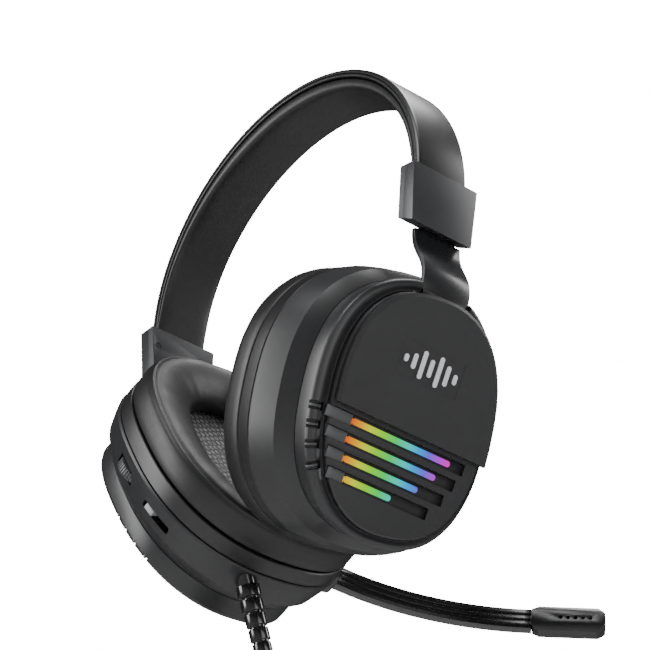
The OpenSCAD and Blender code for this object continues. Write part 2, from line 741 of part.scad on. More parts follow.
module mic_shell() {
    color(BLACK) at_mic() translate([0.05, -0.1, 0]) mic_half(1);
}
module mic_cover() {
    color(DARK) at_mic() translate([-0.05, -0.1, 0]) difference() {
        mic_half(-1);
        // sound holes that face the mouth
        for (i = [0:4]) translate([-10, -(mic_l - 6 - 3 * i), 0]) rotate([0, 90, 0])
            cylinder(r = 0.8, h = 9, $fn = 24);
    }
}
module mic_capsule() {
    color(STEEL) at_mic() translate([-(mic_t / 2 - mic_skin - 0.3), -(mic_l - 8), 0]) rotate([0, 90, 0])
        cylinder(r = 3.2, h = mic_t - 2 * mic_skin - 0.6, $fn = 48);
}

// Strain relief: a neck in the housing's lower wall, then a ribbed sleeve leaning forwards
relief_p = [5, 6, 2 - housing_half_h];
relief_foot = cup_point(relief_p);
relief_lean = 21;
relief_r1 = 4.7;
relief_r2 = 3.7;
relief_neck_r = 3.4;
relief_collar_r = relief_neck_r + 1.4;
module relief_at() {
    // cup frame to upright frame: undo the cup's tilt, then lean forwards
    translate(relief_p) rotate([0, -cup_tilt, 0]) rotate([-relief_lean, 0, 0]) children();
}
module strain_relief() {
    rings = 5;
    step = (relief_l - 4) / rings;
    color(BLACK) in_cup(LEFT) relief_at() difference() {
        union() {
            translate([0, 0, -3]) cylinder(r = relief_neck_r, h = 8, $fn = 48);
            translate([0, 0, 4.2]) cylinder(r = relief_collar_r, h = 1.2, $fn = 48);
            translate([0, 0, -relief_l]) cylinder(r = relief_r2 - 0.6, h = relief_l - 2, $fn = 48);
            for (i = [0:rings - 1]) {
                r = relief_r1 + (relief_r2 - relief_r1) * i / (rings - 1);
                translate([0, 0, -3 - (i + 1) * step + 1]) cylinder(r = r, h = step - 1.2, $fn = 48);
            }
        }
        translate([0, 0, -relief_l - 1]) cylinder(r = lead_d / 2, h = lead_seat + 1, $fn = 32);
    }
}
// World direction and end of the strain relief
relief_dir = [0, -sin(relief_lean), -cos(relief_lean)];
relief_end = relief_foot + relief_l * relief_dir;

// ---- Lead: the route where it isn't coiled, chosen by hand, then a hanging coil ----
lead_route = [
    [21.8, -10, -240], [22, -11.6, -245], [22.4, -12, -250], [24, -10, -255],
    [26, -5.5, -259.5], [28, 0.5, -263.4], [29, 5.5, -266.9]
];
tail_route = [
    [10.4, -12, -270.6], [8.4, -6.5, -270.9], [5.8, -1.8, -273.4], [3.4, 1, -277.6], [2.4, 2, -283],
    [2.4, 2, -288]
];
coil_centre = [19.7, -12, -292];
coil_r = 26;
coil_layers = 3;
coil_rows = 5;
lead_seat = 6;
lead_start = relief_end - lead_seat * relief_dir;
function unit(v) = v / norm(v);
function along(p, i) = unit(p[min(i + 1, len(p) - 1)] - p[max(i - 1, 0)]);
lead_sides = 8;
module tube(p, r) {
    n = lead_sides;
    m = len(p);
    points = [
        for (i = [0:m - 1])
            let (d = along(p, i), a = unit(cross(d, [1, 0, 0])), b = cross(d, a))
            for (k = [0:n - 1]) p[i] + r * (cos(360 * k / n) * a + sin(360 * k / n) * b)
    ];
    faces = concat(ring_walls(m, n), ring_ends(m, n));
    polyhedron(points, faces, convexity = 4);
}
module rounded_rect(w, h, r) {
    square([w - 2 * r, h], center = true);
    square([w, h - 2 * r], center = true);
    for (x = [-1, 1], y = [-1, 1])
        translate([x * (w / 2 - r), y * (h / 2 - r)]) circle(r = r, $fn = 24);
}
module lead() {
    color(BLACK) {
        tube(concat([lead_start, relief_end], lead_route), lead_d / 2);
        tube(tail_route, lead_d / 2);
    }
}
module lead_coil() {
    color(BLACK) translate(coil_centre) rotate([0, 90, 0]) rotate_extrude($fn = 64)
        translate([coil_r, 0]) rounded_rect(coil_layers * lead_d, coil_rows * lead_d, lead_d / 2 - 0.1);
}
tie_t = 1.2;
tie_w = 8;
module lead_tie() {
    w = coil_rows * lead_d + 0.2;
    h = coil_layers * lead_d + 0.2;
    color(DARK) translate(coil_centre) rotate([40, 0, 0]) translate([0, 0, coil_r]) rotate([90, 0, 0])
        linear_extrude(tie_w, center = true) difference() {
            rounded_rect(w + 2 * tie_t, h + 2 * tie_t, 2.4);
            rounded_rect(w, h, 1.6);
        }
}
plug_top = tail_route[5] + [0, 0, 1];
grip_l = 30;
grip_w = 15.4;
grip_t = 8;
usb_w = 12;
usb_t = 4.5;
usb_l = 18.7;
module plug_grip() {
    color(BLACK) translate(plug_top) difference() {
        union() {
            translate([0, 0, -7]) cylinder(r = 3.3, h = 7, $fn = 32);
            translate([0, 0, -grip_l]) linear_extrude(grip_l - 6) rounded_rect(grip_t, grip_w, 2.4);
        }
        translate([0, 0, -5]) cylinder(r = lead_d / 2, h = 8, $fn = 32);
        translate([-usb_t / 2 - 0.05, -usb_w / 2 - 0.05, -grip_l - 1]) cube([usb_t + 0.1, usb_w + 0.1, 9]);
    }
}
module plug_shell() {
    color(STEEL) translate(plug_top + [0, 0, -grip_l - usb_l + 7.9]) difference() {
        translate([-usb_t / 2, -usb_w / 2, 0]) cube([usb_t, usb_w, usb_l]);
        // the socket side is open above the contact tongue
        translate([-usb_t / 2 + 0.4, -usb_w / 2 + 0.4, -1]) cube([1.8, usb_w - 0.8, usb_l - 7]);
    }
}

headband_cover();
headband_pad();
spring_band();
cap_screws();
detent_springs();
cap_outer(RIGHT);  // cap_outer_right
cap_outer(LEFT);  // cap_outer_left
cap_inner(RIGHT);  // cap_inner_right
cap_inner(LEFT);  // cap_inner_left
yoke(RIGHT);  // yoke_right
yoke(LEFT);  // yoke_left
yoke_pin(RIGHT);  // yoke_pin_right
yoke_pin(LEFT);  // yoke_pin_left
ear_cushion(RIGHT);  // ear_cushion_right
ear_cushion(LEFT);  // ear_cushion_left
speaker_cloth(RIGHT);  // speaker_cloth_right
speaker_cloth(LEFT);  // speaker_cloth_left
mount_ring(RIGHT);  // mount_ring_right
mount_ring(LEFT);  // mount_ring_left
baffle(RIGHT);  // baffle_right
baffle(LEFT);  // baffle_left
driver_frame(RIGHT);  // driver_frame_right
driver_frame(LEFT);  // driver_frame_left
driver_magnet(RIGHT);  // driver_magnet_right
driver_magnet(LEFT);  // driver_magnet_left
driver_cone(RIGHT);  // driver_cone_right
driver_cone(LEFT);  // driver_cone_left
housing(RIGHT);  // housing_right
housing(LEFT);  // housing_left
outer_ring(RIGHT);  // outer_ring_right
outer_ring(LEFT);  // outer_ring_left
face_plate(RIGHT);  // face_plate_right
face_plate(LEFT);  // face_plate_left
cover_plate(RIGHT);  // cover_plate_right
cover_plate(LEFT);  // cover_plate_left
light_bars(RIGHT);  // light_bars_right
light_bars(LEFT);  // light_bars_left
light_board(RIGHT);  // light_board_right
light_board(LEFT);  // light_board_left
wave_badge(RIGHT);  // wave_badge_right
wave_badge(LEFT);  // wave_badge_left
cup_screws(RIGHT);  // cup_screws_right
cup_screws(LEFT);  // cup_screws_left
control_board();
volume_wheel();
wheel_axle();
mute_switch();
mic_boom();
mic_hub_pin();
mic_shell();
mic_cover();
mic_capsule();
strain_relief();
lead();
lead_coil();
lead_tie();
plug_grip();
plug_shell();
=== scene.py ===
"""Over-ear gaming headset: the finished visual model over the CAD frame, in metres."""

import json
import math

import bmesh
import bpy
from mathutils import Matrix, Vector, noise


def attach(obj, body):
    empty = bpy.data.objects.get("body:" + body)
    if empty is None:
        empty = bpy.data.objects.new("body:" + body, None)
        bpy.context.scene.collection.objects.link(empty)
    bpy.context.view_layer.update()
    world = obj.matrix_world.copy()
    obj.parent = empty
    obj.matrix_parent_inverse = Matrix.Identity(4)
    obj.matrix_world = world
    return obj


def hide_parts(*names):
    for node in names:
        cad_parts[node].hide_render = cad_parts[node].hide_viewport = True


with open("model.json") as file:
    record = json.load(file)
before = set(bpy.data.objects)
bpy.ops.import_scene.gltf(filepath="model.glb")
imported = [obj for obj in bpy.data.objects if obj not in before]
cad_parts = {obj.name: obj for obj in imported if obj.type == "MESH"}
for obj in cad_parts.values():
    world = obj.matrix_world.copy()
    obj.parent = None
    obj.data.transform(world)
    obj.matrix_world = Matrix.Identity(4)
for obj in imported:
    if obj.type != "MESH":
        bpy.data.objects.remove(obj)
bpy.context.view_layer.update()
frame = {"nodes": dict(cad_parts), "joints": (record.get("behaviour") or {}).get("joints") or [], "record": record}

MM = 0.001
SIDES = ("left", "right")
JOINTS = {j["name"]: j for j in frame["joints"]}
MOUNTS = {m["name"]: m for m in frame["record"]["mounts"]}

# ---------------------------------------------------------------- camera
RIGHT = Vector((-0.6431, -0.7650, 0.0357))
DOWN = Vector((0.3868, -0.3647, -0.8470))
DEPTH = Vector((0.6609, -0.5309, 0.5304))
CAMERA_AT = Vector((-0.77964, 0.61319, -0.71843))
LENS, SENSOR = 162.3, 36

camera = bpy.data.objects.new("studio_camera", bpy.data.cameras.new("studio_camera"))
bpy.context.scene.collection.objects.link(camera)
camera.data.sensor_width = SENSOR
camera.data.lens = LENS
camera.data.clip_start = 0.01
turn = Matrix((RIGHT, -DOWN, -DEPTH)).transposed().to_4x4()
camera.matrix_world = Matrix.Translation(CAMERA_AT) @ turn
bpy.context.scene.camera = camera


# ---------------------------------------------------------------- finishes
class Value:
    """A socket's value: arithmetic on it adds Math nodes to its finish."""

    def __init__(self, finish, socket):
        self.finish, self.socket = finish, socket

    def math(self, operation, other=0.0, swapped=False):
        pair = [other, self] if swapped else [self, other]
        return self.finish.add("ShaderNodeMath", {"operation": operation}, pair)

    def __add__(self, other):
        return self.math("ADD", other)

    def __radd__(self, other):
        return self.math("ADD", other, True)

    def __sub__(self, other):
        return self.math("SUBTRACT", other)

    def __rsub__(self, other):
        return self.math("SUBTRACT", other, True)

    def __mul__(self, other):
        return self.math("MULTIPLY", other)

    def __rmul__(self, other):
        return self.math("MULTIPLY", other, True)

    def __truediv__(self, other):
        return self.math("DIVIDE", other)

    def above(self, limit, soft=0.0):
        """0 below the limit and 1 above it, with a soft step when asked."""
        if not soft:
            return self.math("GREATER_THAN", limit)
        low, high = limit - soft, limit + soft
        return self.finish.add(
            "ShaderNodeMapRange",
            {"interpolation_type": "SMOOTHSTEP"},
            {"Value": self, "From Min": low, "From Max": high},
        )

    def cos(self):
        return self.math("COSINE")

    def absolute(self):
        return self.math("ABSOLUTE")


class Finish:
    """A material with one Principled shader, built up by add()."""

    def __init__(self, name, color, roughness, **constants):
        self.material = bpy.data.materials.new(name)
        self.material.use_nodes = True
        self.tree = self.material.node_tree
        self.shader = self.tree.nodes["Principled BSDF"]
        self.material.diffuse_color = (*color, 1)
        self.set("Base Color", (*color, 1))
        self.set("Roughness", roughness)
        for key, value in constants.items():
            self.set(key.replace("_", " "), value)

    def put(self, socket, value):
        if isinstance(value, Value):
            self.tree.links.new(value.socket, socket)
        else:
            socket.default_value = value

    def set(self, name, value):
        self.put(self.shader.inputs[name], value)

    def add(self, kind, settings=None, inputs=None, output=0):
        made = self.tree.nodes.new(kind)
        for key, value in (settings or {}).items():
            if key == "stops":
                ramp = made.color_ramp.elements
                while len(ramp) < len(value):
                    ramp.new(0.5)
                for stop, (position, shade) in zip(ramp, value):
                    stop.position = position
                    stop.color = (*shade, 1)
            else:
                setattr(made, key, value)
        given = inputs.items() if isinstance(inputs, dict) else enumerate(inputs or [])
        for key, value in given:
            self.put(made.inputs[key], value)
        return Value(self, made.outputs[output])

    def place(self):
        return self.add("ShaderNodeTexCoord", output="Object")

    def axis(self, which):
        return self.add("ShaderNodeSeparateXYZ", inputs=[self.place()], output=which)

    def noise(self, scale, detail=3.0, roughness=0.55, where=None):
        return self.add(
            "ShaderNodeTexNoise",
            inputs={
                "Vector": where or self.place(),
                "Scale": scale,
                "Detail": detail,
                "Roughness": roughness,
            },
        )

    def cells(self, scale, feature="F1"):
        inputs = {"Vector": self.place(), "Scale": scale}
        return self.add("ShaderNodeTexVoronoi", {"feature": feature}, inputs)

    def blend(self, share, first, second):
        """A colour from first to second as share goes from 0 to 1."""
        mixed = self.add("ShaderNodeMix", {"data_type": "RGBA"}, {0: share}, 2)
        made = mixed.socket.node
        for socket, shade in ((made.inputs[6], first), (made.inputs[7], second)):
            self.put(socket, shade if isinstance(shade, Value) else (*shade, 1))
        return mixed

    def bump(self, height, strength, distance, under=None):
        inputs = {"Height": height, "Strength": strength, "Distance": distance}
        if under:
            inputs["Normal"] = under
        return self.add("ShaderNodeBump", inputs=inputs)


def shade(color, factor):
    return tuple(min(1.0, c * factor) for c in color)


def satin(name, color, roughness):
    """Moulded plastic: a fine spark-etched grain, faint flow marks and handling sheen."""
    f = Finish(name, color, roughness, Coat_Weight=0.0, Coat_Roughness=0.2)
    flow = f.noise(38.0, 4.0)
    etch = f.noise(2600.0, 2.0, 0.6)
    f.set("Base Color", f.blend(flow, shade(color, 0.86), shade(color, 1.14)))
    f.set("Roughness", roughness - 0.06 + flow * 0.1 + etch * 0.03)
    f.set("Normal", f.bump(etch, 0.12, 0.00006))
    return f.material


def leatherette(name, color, roughness):
    """Soft coated cloth: pebbled cells, finer pores between them and slow creases."""
    f = Finish(name, color, roughness)
    pebbles = f.cells(820.0, "SMOOTH_F1")
    pores = f.cells(2300.0)
    creases = f.noise(95.0, 5.0, 0.6)
    f.set("Base Color", f.blend(pebbles, shade(color, 1.2), shade(color, 0.7)))
    f.set("Roughness", roughness + 0.12 * creases - 0.06 * pebbles)
    soft = f.bump(creases, 0.16, 0.0004)
    f.set("Normal", f.bump(pebbles + pores * 0.3, 0.16, 0.00012, soft))
    return f.material


def rubber(name, color, roughness, coat):
    """Rubber: a faint bloom in its colour and sheen under a thin gloss."""
    f = Finish(name, color, roughness, Coat_Weight=coat, Coat_Roughness=0.16)
    bloom = f.noise(60.0, 5.0)
    grain = f.noise(1800.0, 2.0)
    f.set("Base Color", f.blend(bloom, shade(color, 0.8), shade(color, 1.25)))
    f.set("Roughness", roughness - 0.05 + bloom * 0.12)
    f.set("Normal", f.bump(grain, 0.08, 0.00005))
    return f.material


def metal(name, color, roughness=0.32):
    """Metal brushed along one direction."""
    f = Finish(name, color, roughness, Metallic=1.0)
    stretched = f.add(
        "ShaderNodeMapping",
        inputs={"Vector": f.place(), "Scale": (1.0, 1.0, 14.0)},
    )
    brushed = f.noise(420.0, 3.0, where=stretched)
    f.set("Base Color", f.blend(brushed, shade(color, 0.85), shade(color, 1.1)))
    f.set("Roughness", roughness - 0.08 + brushed * 0.16)
    f.set("Normal", f.bump(brushed, 0.08, 0.00004))
    return f.material


# the left cup's frame: its face tilts, its depth runs outwards, and it hangs from a hinge
TILT = math.acos(JOINTS["wheel_turn"]["axis"][0])
PIVOT_D, PIVOT_V = 25.0 * MM, 43.8 * MM
OUT = Vector((math.cos(TILT), 0, -math.sin(TILT)))
UP = Vector((math.sin(TILT), 0, math.cos(TILT)))
CUP_AT = Vector(JOINTS["cup_tilt_left"]["pos_m"]) - PIVOT_D * OUT - PIVOT_V * UP


def speaker_mesh(name):
    """Knitted spacer mesh: a honeycomb of holes, sunk by the bump and painted near-black as painted shade, with
    paler threads between them.
    """
    hole_pitch = 2.5 * MM
    f = Finish(name, (0.05, 0.05, 0.05), 0.7, Sheen_Weight=0.2)
    x, y, z = (f.axis(k) for k in ("X", "Y", "Z"))
    v = x.absolute() * math.sin(TILT) + z * math.cos(TILT)
    pitch = 2 * math.pi / hole_pitch
    waves = [
        (y * (math.cos(a) * pitch) + v * (math.sin(a) * pitch)).cos()
        for a in (0.0, math.pi / 3, 2 * math.pi / 3)
    ]
    comb = waves[0] + waves[1] + waves[2] * -1.0
    hole_and_shade = comb.above(0.35, 0.35)
    stray = f.noise(900.0, 2.0)
    thread = f.blend(stray.above(0.5, 0.14), (0.016, 0.016, 0.017), (0.2, 0.2, 0.2))
    # painted shade: the mesh's holes are painted near-black, as the shade inside its openings
    f.set("Base Color", f.blend(hole_and_shade, thread, (0.003, 0.003, 0.003)))
    f.set("Normal", f.bump(hole_and_shade * -1.0 + stray * 0.2, 0.8, 0.0006))
    return f.material


def raised_print(name, high, low):
    """Badge: its raised bars are pale, the plate they stand on is dark."""
    plate_top = 31.25 * MM
    f = Finish(name, low, 0.4)
    depth = f.axis("X").absolute() * math.cos(TILT) - f.axis("Z") * math.sin(TILT)
    face = CUP_AT.dot(OUT) + plate_top
    speck = f.noise(700.0)
    f.set("Base Color", f.blend((depth - face).above(0.0), low, high))
    f.set("Roughness", 0.34 + speck * 0.12)
    f.set("Normal", f.bump(speck, 0.06, 0.00005))
    return f.material


def knitted(name, color):
    """Woven strip: crossing ribs of yarn, their crests painted paler and their dips darker as painted highlight
    and painted shade.
    """
    yarn = 0.7 * MM
    f = Finish(name, color, 0.85, Sheen_Weight=0.3)
    ribs = [(f.axis(k) * (2 * math.pi / yarn)).cos() for k in ("X", "Y", "Z")]
    weave = ribs[0] * ribs[1] + ribs[2]
    # painted highlight and painted shade: the colour follows the weave's height, paler on the crests and darker in
    # the dips
    low, high = shade(color, 0.6), shade(color, 1.4)
    f.set("Base Color", f.blend(weave.above(0.0, 0.8), low, high))
    f.set("Normal", f.bump(weave, 0.4, 0.00015))
    return f.material


# colours along a light bar, from its rear end to its front end
RUN = [
    (0.00, (1.0, 0.12, 0.0)),
    (0.08, (1.0, 0.4, 0.0)),
    (0.18, (0.8, 0.85, 0.0)),
    (0.30, (0.3, 0.9, 0.0)),
    (0.44, (0.0, 0.85, 0.12)),
    (0.58, (0.0, 0.75, 0.7)),
    (0.68, (0.0, 0.4, 1.0)),
    (0.78, (0.15, 0.12, 0.95)),
    (0.89, (0.6, 0.02, 0.9)),
    (1.00, (1.0, 0.0, 0.6)),
]


def glowing(name, rear, front, strength):
    """Light bar: the colour runs along the bar from its rear end to its front end."""
    f = Finish(name, (0.9, 0.9, 0.9), 0.45, Specular_IOR_Level=0.15)
    run = (f.axis("Y") * -1.0 + rear) / (rear - front)
    ramp = f.add("ShaderNodeValToRGB", {"stops": RUN}, [run])
    f.set("Base Color", f.blend(0.97, ramp, (0.0, 0.0, 0.0)))
    f.set("Emission Color", ramp)
    f.set("Emission Strength", strength)
    return f.material


def board_green(name):
    """Circuit board: green lacquer in two tones, parted along cell edges."""
    f = Finish(name, (0.01, 0.1, 0.045), 0.35)
    tracks = f.cells(420.0, "DISTANCE_TO_EDGE")
    field = f.blend(tracks.above(0.06, 0.02), (0.03, 0.2, 0.1), (0.008, 0.08, 0.04))
    f.set("Base Color", field)
    f.set("Normal", f.bump(tracks, 0.2, 0.00005))
    return f.material


DARK = (0.015, 0.0155, 0.017)
PLATE_DARK = (0.016, 0.0165, 0.018)
FINISHES = {
    "cover_plastic": satin("cover_satin", (0.008, 0.0082, 0.009), 0.34),
    "band_leatherette": leatherette("band_leatherette", (0.007, 0.007, 0.008), 0.4),
    "spring_steel": metal("spring_steel", (0.5, 0.5, 0.51)),
    "screw_steel": metal("screw_steel", (0.05, 0.05, 0.052)),
    "cap_plastic": satin("cap_satin", (0.026, 0.027, 0.03), 0.36),
    "cap_inner_plastic": satin("cap_inner_satin", (0.035, 0.036, 0.039), 0.45),
    "yoke_plastic": satin("yoke_satin", (0.016, 0.0165, 0.018), 0.28),
    "pin_steel": metal("pin_steel", (0.5, 0.5, 0.51), 0.25),
    "cushion_leatherette": leatherette("cushion_leatherette", (0.004, 0.004, 0.0045), 0.42),
    "speaker_mesh": speaker_mesh("speaker_mesh"),
    "mount_plastic": satin("mount_satin", (0.009, 0.009, 0.010), 0.36),
    "inner_plastic": satin("inner_satin", (0.03, 0.03, 0.032), 0.5),
    "magnet": metal("magnet_plate", (0.35, 0.35, 0.36)),
    "cone_film": satin("cone_film", (0.4, 0.37, 0.3), 0.3),
    "housing_plastic": satin("housing_satin", DARK, 0.38),
    "ring_plastic": satin("ring_satin", DARK, 0.36),
    "face_plastic": satin("face_satin", DARK, 0.42),
    "plate_plastic": satin("plate_satin", PLATE_DARK, 0.44),
    "circuit_board": board_green("circuit_board"),
    "badge": raised_print("badge_print", (0.7, 0.71, 0.73), PLATE_DARK),
    "wheel_plastic": rubber("wheel_rubber", (0.05, 0.05, 0.053), 0.36, 0.1),
    "switch_plastic": satin("switch_pale", (0.3, 0.31, 0.32), 0.35),
    "boom_rubber": rubber("boom_rubber", (0.003, 0.003, 0.0035), 0.22, 0.4),
    "mic_plastic": satin("microphone_satin", (0.004, 0.004, 0.0045), 0.32),
    "capsule": metal("capsule_can", (0.6, 0.6, 0.6)),
    "relief_rubber": rubber("relief_rubber", (0.006, 0.006, 0.007), 0.18, 0.5),
    "lead_sleeve": rubber("lead_sleeve", (0.009, 0.009, 0.010), 0.32, 0.2),
    "tie_fabric": knitted("tie_weave", (0.02, 0.02, 0.021)),
    "plug_plastic": satin("plug_satin", (0.014, 0.014, 0.016), 0.4),
    "plug_steel": metal("plug_steel", (0.7, 0.7, 0.71), 0.22),
}
CHANNEL_BLACK = satin("channel_black", (0.004, 0.004, 0.005), 0.5)
CHANNEL_GREY = satin("channel_grey", (0.075, 0.077, 0.08), 0.4)


# ---------------------------------------------------------------- modelling helpers
def only(obj):
    """Make obj the one selected and active object."""
    if bpy.context.object and bpy.context.object.mode != "OBJECT":
        bpy.ops.object.mode_set(mode="OBJECT")
    bpy.ops.object.select_all(action="DESELECT")
    obj.select_set(True)
    bpy.context.view_layer.objects.active = obj


def finish_piece(obj, body, slot, nodes=(), material=None, smooth=35.0):
    """Give a piece its finish, its body and the CAD nodes it stands for."""
    obj.data.materials.clear()
    obj.data.materials.append(material or FINISHES[slot])
    only(obj)
    bpy.ops.object.shade_smooth_by_angle(angle=math.radians(smooth))
    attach(obj, body)
    if nodes:
        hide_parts(*nodes)
    return obj


def modify(obj, kind, **settings):
    """Add a modifier and apply it."""
    only(obj)
    modifier = obj.modifiers.new(kind.lower(), kind)
    for key, value in settings.items():
        setattr(modifier, key, value)
    bpy.ops.object.modifier_apply(modifier=modifier.name)
    return obj


def mirrored(obj, name):
    """The right-hand copy of a left-hand piece, with its own mesh."""
    copy = bpy.data.objects.new(name, obj.data.copy())
    bpy.context.scene.collection.objects.link(copy)
    copy.data.transform(Matrix.Scale(-1, 4, (1, 0, 0)))
    only(copy)
    bpy.ops.object.mode_set(mode="EDIT")
    bpy.ops.mesh.select_all(action="SELECT")
    bpy.ops.mesh.normals_make_consistent(inside=False)
    bpy.ops.object.mode_set(mode="OBJECT")
    return copy


WELD = 0.000002
FLAT_ANGLE = math.radians(0.6)


def rounded(node, width, segments=2, angle=32.0):
    """A copy of a CAD node: welded, its flats merged, its edges rounded; width in mm."""
    copy = bpy.data.objects.new(node + "_finished", frame["nodes"][node].data.copy())
    bpy.context.scene.collection.objects.link(copy)
    only(copy)
    bpy.ops.object.mode_set(mode="EDIT")
    bpy.ops.mesh.select_all(action="SELECT")
    bpy.ops.mesh.remove_doubles(threshold=WELD)
    bpy.ops.mesh.dissolve_limited(angle_limit=FLAT_ANGLE)
    bpy.ops.object.mode_set(mode="OBJECT")
    return modify(
        copy, "BEVEL", width=width * MM, segments=segments, limit_method="ANGLE",
        angle_limit=math.radians(angle), use_clamp_overlap=True,
    )


def bridged(name, rings, closed=False):
    """A body bridged ring by ring; its open ends are filled."""
    n = len(rings[0])
    bpy.ops.object.select_all(action="DESELECT")
    bpy.ops.mesh.primitive_circle_add(vertices=n, radius=1)
    obj = bpy.context.object
    obj.name = obj.data.name = name
    bpy.ops.object.mode_set(mode="EDIT")
    for _ in rings[1:]:
        bpy.ops.mesh.primitive_circle_add(vertices=n, radius=1)
    bpy.ops.object.mode_set(mode="OBJECT")
    obj.data.vertices.foreach_set("co", [c for ring in rings for p in ring for c in p])
    bpy.ops.object.mode_set(mode="EDIT")
    bpy.ops.mesh.select_mode(type="EDGE")

    def pick(*which):
        bpy.ops.mesh.select_all(action="DESELECT")
        shape = bmesh.from_edit_mesh(obj.data)
        shape.edges.ensure_lookup_table()
        for k in which:
            for i in range(k * n, k * n + n):
                shape.edges[i].select_set(True)
        bmesh.update_edit_mesh(obj.data)

    last = len(rings) - 1
    for k in range(last):
        pick(k, k + 1)
        bpy.ops.mesh.bridge_edge_loops()
    if closed:
        pick(last, 0)
        bpy.ops.mesh.bridge_edge_loops()
    else:
        for k in (0, last):
            pick(k)
            bpy.ops.mesh.edge_face_add()
    bpy.ops.mesh.select_all(action="SELECT")
    bpy.ops.mesh.normals_make_consistent(inside=False)
    bpy.ops.object.mode_set(mode="OBJECT")
    return obj


def block(name, centre, size, turned, bevel):
    """A small bevelled block, in millimetres, placed by a frame matrix."""
    bpy.ops.object.select_all(action="DESELECT")
    bpy.ops.mesh.primitive_cube_add(size=1)
    obj = bpy.context.object
    obj.name = obj.data.name = name
    obj.data.transform(Matrix.Diagonal((*(side * MM for side in size), 1)))
    bpy.ops.object.mode_set(mode="EDIT")
    bpy.ops.mesh.select_all(action="SELECT")
    bpy.ops.mesh.bevel(offset=bevel * MM, segments=2, affect="EDGES")
    bpy.ops.object.mode_set(mode="OBJECT")
    obj.data.transform(turned @ Matrix.Translation(Vector(centre) * MM))
    return obj


def joined(name, pieces):
    """One object from several, under a new name."""
    only(pieces[0])
    for p in pieces:
        p.select_set(True)
    bpy.ops.object.join()
    pieces[0].name = pieces[0].data.name = name
    return pieces[0]


def cut(obj, cutter):
    """Take the cutter's solid out of obj."""
    modify(obj, "BOOLEAN", operation="DIFFERENCE", solver="EXACT", object=cutter)
    bpy.data.objects.remove(cutter)


# ---------------------------------------------------------------- the cup's frame
# columns: outward depth, backwards, up along the face
CUP_TURN = Matrix((OUT, Vector((0, 1, 0)), UP)).transposed().to_4x4()
CUP = Matrix.Translation(CUP_AT) @ CUP_TURN
LEAN = math.radians(8)
SQUARENESS = 2.4
STEPS = 128


def cup(d, y, v):
    """A point of the left cup from its depth, its way back and its height in mm."""
    return CUP @ Vector((d * MM, y * MM, v * MM))


def oval(rear, front, up, down, steps=STEPS):
    """Rounded oval of a cup, leaning back, as (y, v) pairs in millimetres."""
    points = []
    for i in range(steps):
        a = 2 * math.pi * (i + 0.5) / steps
        c, s = math.cos(a), math.sin(a)
        u = (rear if c > 0 else front) * math.copysign(abs(c) ** (2 / SQUARENESS), c)
        v = (up if s > 0 else down) * math.copysign(abs(s) ** (2 / SQUARENESS), s)
        y = u * math.cos(LEAN) + v * math.sin(LEAN)
        points.append((y, v * math.cos(LEAN) - u * math.sin(LEAN)))
    return points


def section(depth, size, inset=0.0, steps=STEPS):
    """The cup's outline at a depth, drawn in by an inset."""
    return [cup(depth, y, v) for y, v in oval(*[s - inset for s in size], steps=steps)]


def between(a, b, t):
    """The size a share t of the way from a to b."""
    return [p + (q - p) * t for p, q in zip(a, b)]


# outline sizes: to the rear, to the front, up and down, in millimetres
HOUSING_IN = [53, 49, 55, 54]
HOUSING_EDGE = [49, 45, 54, 52.5]
HOUSING_OUT = [44, 41, 50, 49]
RIM_EDGE = [43.6, 38.8, 51, 50.4]
FACE = [36.2, 36.2, 46.2, 46.2]
EAR = [27, 27, 33, 33]
RIM_TOP = 27.4
FACE_TOP = RIM_TOP + 1.2
MOUNT_D = 7.0
CUSHION_T = 13.6


# ---------------------------------------------------------------- lead
LEAD_D = 4.6 * MM
relief_end = Vector(MOUNTS["lead_exit"]["pos_m"])
relief_way = Vector(MOUNTS["lead_exit"]["axis"]).normalized()
LEAD_ROUTE = [
    (21.8, -10, -240), (22, -11.6, -245), (22.4, -12, -250), (24, -10, -255),
    (26, -5.5, -259.5), (28, 0.5, -263.4), (29, 5.5, -266.9),
]
TAIL_ROUTE = [
    (8.4, -6.5, -270.9), (5.8, -1.8, -273.4), (3.4, 1, -277.6), (2.4, 2, -283),
    (2.4, 2, -286),
]
COIL_Y, COIL_Z = -12, -292
OUTER_R = 30.6
FIRST_X = 28.9
TURN = 4.6
START_ANGLE = 34.9
LAST_ANGLE = 360 * 13
JOG = 60.0
ANGLE_STEP = 12


def stepped(angle, zone, first, count):
    """Travel after count one-a-turn jogs at this angle, each smooth over its zone."""
    done = 0.0
    for k in range(count):
        t = (angle - (360 * (first + k) + zone)) / JOG
        t = max(0.0, min(1.0, t))
        done += t * t * (3 - 2 * t)
    return done * TURN


def coil_point(angle):
    """Three layers of five turns, wound out, back and out again."""
    x = FIRST_X
    x -= stepped(angle, 260, 0, 4)
    x += stepped(angle, 140, 5, 4)
    x -= stepped(angle, 260, 9, 4)
    r = OUTER_R
    r -= stepped(angle, 200, 4, 1)
    r -= stepped(angle, 80, 9, 1)
    a = math.radians(angle)
    return Vector((x, COIL_Y + r * math.sin(a), COIL_Z + r * math.cos(a)))


